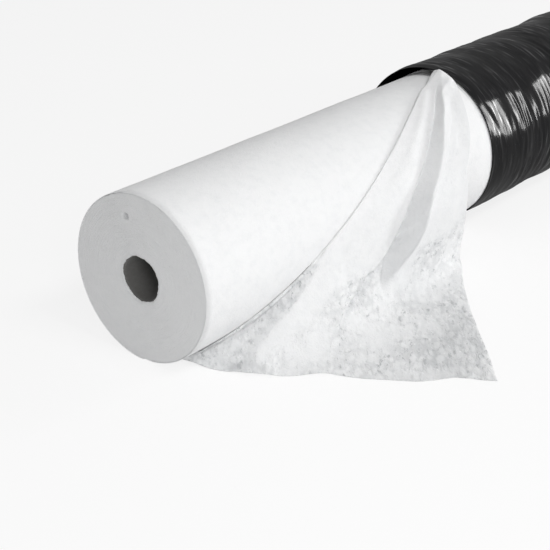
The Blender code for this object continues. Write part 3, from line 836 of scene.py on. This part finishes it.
def flap_surface(stations):
    """The flap's middle surface, its (station, length) places, how thinly its felt is drawn out with
    painted shade added, and the painted shade on the deep fold, in rows from the mouth's end."""
    places = flap_places(stations)
    station, length = places[..., 0], places[..., 1]
    flat = on_flap(station, length)
    points = np.concatenate([station[..., None] - ROLL_LENGTH / 2, flat], axis=-1)
    along = np.gradient(points, axis=0)
    across = np.gradient(points, axis=1)
    normal = np.cross(along, across)
    normal /= np.linalg.norm(normal, axis=-1, keepdims=True)
    lying = 1 - ramp(flat[..., 1], 0.002, 0.030)
    free = ramp(length, 0.02, 0.05)
    crinkle = 0.0005 * ripple(station * 55, length * 55, 11, 40, 1.0, 4.0)
    crinkle += 0.0016 * ripple(station * 14, length * 14, 12, 24, 1.0, 2.5) * lying
    lift = fan(station, length) + crinkle * free
    for form in (valley, pocket, mouth_tab, trough):
        lift = lift + form(station, length)
    lift = lift - pressed_crease(station, length)
    points = points + normal * lift[..., None]
    up = points[..., 2] - AXIS_HEIGHT
    away = np.hypot(points[..., 1], up)
    around = np.degrees(np.arctan2(-points[..., 1], -up)) % 360 + 360
    over = away - RADIUS - THICKNESS - swelling(station, around)
    beside = ramp(length, 0.010, 0.015) * (np.abs(up) < RADIUS)
    clear = 1 + (np.hypot(over, 0.0025) - over) / 2 / away * beside
    points[..., 1] *= clear
    points[..., 2] = AXIS_HEIGHT + up * clear
    creased = np.abs(ripple(station * 46, length * 46, 13, 36, 1.0, 3.0))
    folded = 0.0009 * np.clip(1 - 1.6 * creased, 0, 1) * lying * free
    points[..., 2] = np.maximum(points[..., 2], THICKNESS / 2) + folded
    return points, places, thinness_and_painted_shade(station, length), painted_fold_shade(station, length)


def grid_quads(index):
    """The faces between the neighbouring rows and columns of a grid of point numbers."""
    corners = (index[:-1, :-1], index[:-1, 1:], index[1:, 1:], index[1:, :-1])
    return np.stack(corners, axis=-1).reshape(-1, 4)


def sheet_object(name, points, quads, uvs, thickness, material):
    """A mesh of quads with a UV in metres, given its thickness about its middle surface."""
    mesh = bpy.data.meshes.new(name)
    mesh.from_pydata(points.tolist(), [], quads.tolist())
    layer = mesh.uv_layers.new(name="web")
    corner = np.zeros(len(mesh.loops), dtype=np.int32)
    mesh.loops.foreach_get("vertex_index", corner)
    layer.data.foreach_set("uv", uvs[corner].astype(np.float32).ravel())
    mesh.materials.append(material)
    mesh.shade_smooth()
    made = linked(name, mesh)
    solid = made.modifiers.new("Thickness", "SOLIDIFY")
    solid.thickness = thickness
    solid.offset = 0.0
    return made


felt_web = make_felt("felt_web", peeled=True)


def make_web():
    """Wound columns and flap rows that share the points of the peel line."""
    angles, first, last = wound_columns()
    count = len(WOUND_ROWS)
    wound, uv = [], []
    for angle in angles:
        start = 0.0
        if angle > 360:
            start = ridge_station(min(angle, TOP_ANGLE) - 360)
            start = start * float(ramp(angle, 340, 40)) if angle < 360 + TOE_ANGLE else start
        stations = start + (ROLL_LENGTH - start) * WOUND_ROWS
        wound.append(wound_place(stations, np.full(count, angle)))
        uv.append(np.stack([stations, np.full(count, RADIUS * math.radians(angle))], axis=-1))
    ridge = [ridge_station(a - 360) for a in angles[first:last]]
    ridge[-1] = FLAP_END
    flap, places, thin_and_painted_shade, painted_shade = (grid[::-1] for grid in flap_surface(ridge[::-1]))
    points, uvs = [np.concatenate(wound)], [np.concatenate(uv)]
    index = np.arange(len(angles) * count).reshape(len(angles), count)
    rows, columns = flap.shape[:2]
    rest = len(points[0]) + np.arange(rows * (columns - 1)).reshape(rows, columns - 1)
    flap_index = np.concatenate([index[first:last, :1], rest], axis=1)
    points.append(flap[:, 1:].reshape(-1, 3))
    straight = places[:, 1:, 0] - RIDGE_TOE ** 2 / places[:, 1:, 0]
    turned = RADIUS * 2 * math.pi + RIDGE_BASE + RIDGE_RISE * straight + places[:, 1:, 1]
    uvs.append(np.stack([places[:, 1:, 0], turned], axis=-1).reshape(-1, 2))
    quads = np.concatenate([grid_quads(index), grid_quads(flap_index)[:, [0, 3, 2, 1]]])
    on_wound = np.zeros(len(points[0]))
    points, uvs = np.concatenate(points), np.concatenate(uvs)
    made = sheet_object("web_and_flap", points, quads, uvs, THICKNESS, felt_web)
    # Both attributes feed painted shade into the felt's colour: the first along with the thinner places,
    # the second on the deep fold and beyond it.
    for name, level in (("thin_and_painted_shade", thin_and_painted_shade), ("painted_shade", painted_shade)):
        level = np.concatenate([on_wound, level[:, 1:].ravel()])
        layer = made.data.attributes.new(name, "FLOAT", "POINT")
        layer.data.foreach_set("value", level.astype(np.float32))
    return made


web = make_web()
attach(web, "roll")
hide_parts("fabric_outer_turn", "loose_tail")


# The sleeve: a loose tube of thin black polyethylene film, wrinkled by handling, pleated over
# the far end and tucked into the core. It can be drawn off the roll's far end.

FILM_RADIUS = 0.154
FILM_AXIS_HEIGHT = 0.15005
FILM_THICKNESS = 0.0003
FILM_COLUMNS = 216
FILM_ROWS = (110, 62)
FINE_LENGTH = 0.36
END_ROWS = 24
END_STANDOFF = 0.0040
TUCK_ROWS = 14
TUCK_LENGTH = 0.110
TUCK_RADIUS = CORE_BORE_RADIUS - 0.0025
TUCK_THROAT = 0.010
PLEATS = 34
PLEAT_DEPTH = 0.0045
SLANT = 0.14
FILM_BLACK = (0.004, 0.004, 0.0045)
FILM_GREY = (0.010, 0.010, 0.011)


def make_film_finish():
    made, wire, shader, _ = finish_named(
        "film_black_gloss", 0.3, Specular_IOR_Level=0.0,
        Coat_Weight=0.20, Coat_IOR=1.8, Coat_Roughness=0.13,
    )
    place = wire.node("ShaderNodeUVMap", {"uv_map": "web"})
    streak = noise(wire, place, 40.0, 3.0, 0.6, (3.0, 0.45, 1.0))
    fine = noise(wire, place, 130.0, 2.0, 0.5, (2.2, 0.25, 1.0))
    stretched = noise(wire, place, 60.0, 2.0, 0.5, (2.4, 0.26, 1.0)).within(0.54, 0.72)
    dust = noise(wire, place, 7.0, 3.0, 0.6)
    tone = (dust * 0.6 + streak * 0.4).within(0.35, 0.75)
    feed(shader, Base_Color=tone.between(FILM_BLACK, FILM_GREY))
    dulled = (dust * 0.6 + fine * 0.4).within(0.3, 0.7, 0.18, 0.10)
    feed(shader, Coat_Weight=dulled + stretched * dust.within(0.40, 0.62, 0.08, 0.38))
    bumped(wire, shader, streak * 0.7 + fine * 0.3, 0.0004)
    return made


def film_wrinkles(x, turn):
    """Wrinkles that run round the sleeve at a slant, in groups: creases outwards, hollows between."""
    way = turn * FILM_RADIUS
    slant = x + SLANT * way + 0.010 * ripple(x * 12, way * 12, 34, 12)
    main = ripple(slant * 150, way * 15, 31, 44, 1.0, 2.6)
    small = ripple(slant * 300, way * 30, 35, 40, 1.0, 2.2)
    slow = ripple(x * 18, way * 11, 33, 16, 1.0, 2.0)
    groups = np.clip(0.55 + 0.6 * slow, 0.12, 1.6)
    lumps = ripple(x * 60, way * 34, 36, 24, 1.0, 2.0)
    folds = ripple(x * 45, way * 10, 37, 20, 1.0, 1.8)
    creases = groups * (0.0012 * (0.55 - np.abs(main)) + 0.0003 * (0.5 - np.abs(small)))
    return creases + 0.0008 * lumps + 0.0014 * folds + 0.0014 * slow


def make_film():
    turn = np.linspace(0, 2 * math.pi, FILM_COLUMNS, endpoint=False)
    mouth, far = OPEN_LENGTH - ROLL_LENGTH / 2, ROLL_LENGTH / 2
    body = np.concatenate([
        np.linspace(mouth, mouth + FINE_LENGTH, FILM_ROWS[0]),
        np.linspace(mouth + FINE_LENGTH, far, FILM_ROWS[1])[1:],
    ])
    rings = []
    slack = FILM_RADIUS - RADIUS - 0.0010 - (FILM_AXIS_HEIGHT - AXIS_HEIGHT) * np.cos(turn)
    for x in body:
        ends = float(ramp(x, mouth, 0.02)) * float(ease((far - x) / 0.05))
        wrinkle = film_wrinkles(np.full(turn.shape, x), turn) * (0.25 + 0.75 * ends)
        inward = np.clip(-wrinkle, 0, np.maximum(slack * 0.8, 0))
        radius = FILM_RADIUS - 0.001 + np.maximum(wrinkle, 0) - inward
        y = -radius * np.sin(turn)
        z = np.maximum(FILM_AXIS_HEIGHT - radius * np.cos(turn), FILM_THICKNESS / 2)
        rings.append(np.stack([np.full(turn.shape, x), y, z], axis=-1))
    for k in range(1, END_ROWS + 1):
        share = k / END_ROWS
        radius = (FILM_RADIUS - 0.001) * (1 - share) + TUCK_RADIUS * share
        centre = FILM_AXIS_HEIGHT * (1 - share) + AXIS_HEIGHT * share
        gather = math.sin(math.pi * min(share + 0.08, 0.94)) * PLEAT_DEPTH
        pleat = np.sin(turn * PLEATS + 1.3 * np.sin(turn * 3) + 2.0 * np.sin(turn * 5 + 1))
        x = far + END_STANDOFF + gather * (0.5 + 0.5 * pleat)
        x = x + 0.0008 * ripple(radius * 60, turn * 12, 41, 16)
        y = -radius * np.sin(turn)
        z = np.maximum(centre - radius * np.cos(turn), FILM_THICKNESS / 2)
        rings.append(np.stack([x, y, z], axis=-1))
    for k in range(1, TUCK_ROWS + 1):
        share = k / TUCK_ROWS
        radius = TUCK_RADIUS + (TUCK_THROAT - TUCK_RADIUS) * share ** 1.6
        radius = radius * (1 + 0.07 * np.sin(turn * 17 + 4 * share) * min(1.0, 3 * share)) - 0.0005
        x = np.full(turn.shape, far + END_STANDOFF - TUCK_LENGTH * share)
        rings.append(np.stack([x, -radius * np.sin(turn), AXIS_HEIGHT - radius * np.cos(turn)], axis=-1))
    grid = np.array(rings)
    count, columns = grid.shape[:2]
    index = np.arange(count * columns).reshape(count, columns)
    quads = grid_quads(np.concatenate([index, index[:, :1]], axis=1))
    around = np.broadcast_to(turn * FILM_RADIUS, (count, columns))
    uv = np.stack([grid[..., 0], around], axis=-1).reshape(-1, 2)
    return sheet_object("film", grid.reshape(-1, 3), quads, uv, FILM_THICKNESS, make_film_finish())


film = make_film()
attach(film, "film")
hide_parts("film_sleeve")


# The floor is plain and pale. Two soft boxes hang above and in front of the flap's side, and a
# strip light leans beyond the far end, where the film's creases mirror it. The camera stands
# where the photograph was taken from.

CAMERA = (-2.40467, -1.46907, 1.11033)
CAMERA_TURN = 40.263
CAMERA_DOWN = 25.379
CAMERA_LENS = 92.79
LAMPS = {
    "overhead": {
        "place": (-0.90, -1.95, 2.75), "aim": (-0.5, 0.0, 0.1), "size": (1.1, 0.65), "power": 37.0,
    },
    "front": {
        "place": (-2.60, -2.30, 1.60), "aim": (-0.5, 0.0, 0.1), "size": (1.1, 0.65), "power": 22.0,
    },
    "strip": {
        "place": (4.00, -2.50, 1.28), "aim": (-0.1, -0.12, 0.2), "size": (0.42, 2.60), "power": 112.0,
        "lean": -29.0,
    },
}
ROOM_LIGHT = 0.30
FLOOR_SIZE = 14.0
FLOOR_GLOW = 0.82


def seen_rays(wire):
    """1 for what is seen straight, in a mirror or through a clear piece, and 0 for light on its way."""
    kinds = ("Is Camera Ray", "Is Glossy Ray", "Is Transmission Ray")
    straight, mirrored, through = (wire.node("ShaderNodeLightPath", output=kind) for kind in kinds)
    return wire.math("MAXIMUM", wire.math("MAXIMUM", straight, mirrored), through)


def make_floor():
    made, wire, shader, _ = finish_named("pale_floor", 0.9)
    shader.inputs["Base Color"].default_value = (0.93, 0.93, 0.93, 1.0)
    shader.inputs["Specular IOR Level"].default_value = 0.1
    glow = wire.node("ShaderNodeEmission", None, {"Color": (1.0, 1.0, 1.0, 1.0), "Strength": 1.0})
    lit = Wire(wire.tree, shader.outputs[0])
    mixed = wire.node("ShaderNodeMixShader", None, {0: seen_rays(wire) * FLOOR_GLOW, 1: lit, 2: glow})
    wire.tree.links.new(mixed.socket, wire.tree.nodes["Material Output"].inputs["Surface"])
    mesh = bpy.data.meshes.new("floor")
    half = FLOOR_SIZE / 2
    corners = [(-half, -half, 0), (half, -half, 0), (half, half, 0), (-half, half, 0)]
    mesh.from_pydata(corners, [], [(0, 1, 2, 3)])
    mesh.materials.append(made)
    linked("floor", mesh)


def make_room():
    world = bpy.data.worlds.new("room")
    bpy.context.scene.world = world
    world.use_nodes = True
    wire = Wire(world.node_tree)
    back = world.node_tree.nodes["Background"]
    back.inputs["Color"].default_value = (1.0, 1.0, 1.0, 1.0)
    strength = seen_rays(wire) * (1.0 - ROOM_LIGHT) + ROOM_LIGHT
    world.node_tree.links.new(strength.socket, back.inputs["Strength"])


def make_lamp(name, place, aim, size, power, lean=0.0):
    lamp = bpy.data.lights.new(name, "AREA")
    lamp.shape = "RECTANGLE"
    lamp.size, lamp.size_y = size
    lamp.energy = power
    made = linked(name, lamp)
    made.location = place
    facing = (Vector(aim) - Vector(place)).to_track_quat("-Z", "Y")
    made.rotation_euler = (facing @ Quaternion((0.0, 0.0, 1.0), math.radians(lean))).to_euler()


make_floor()
make_room()
for lamp_name, setting in LAMPS.items():
    make_lamp(lamp_name, **setting)

camera = linked("camera", bpy.data.cameras.new("camera"))
camera.data.lens = CAMERA_LENS
camera.data.sensor_width = 36.0
camera.location = CAMERA
camera.rotation_euler = (math.radians(90 - CAMERA_DOWN), 0.0, math.radians(CAMERA_TURN - 90))
bpy.context.scene.camera = camera
bpy.context.scene.view_settings.view_transform = "Standard"
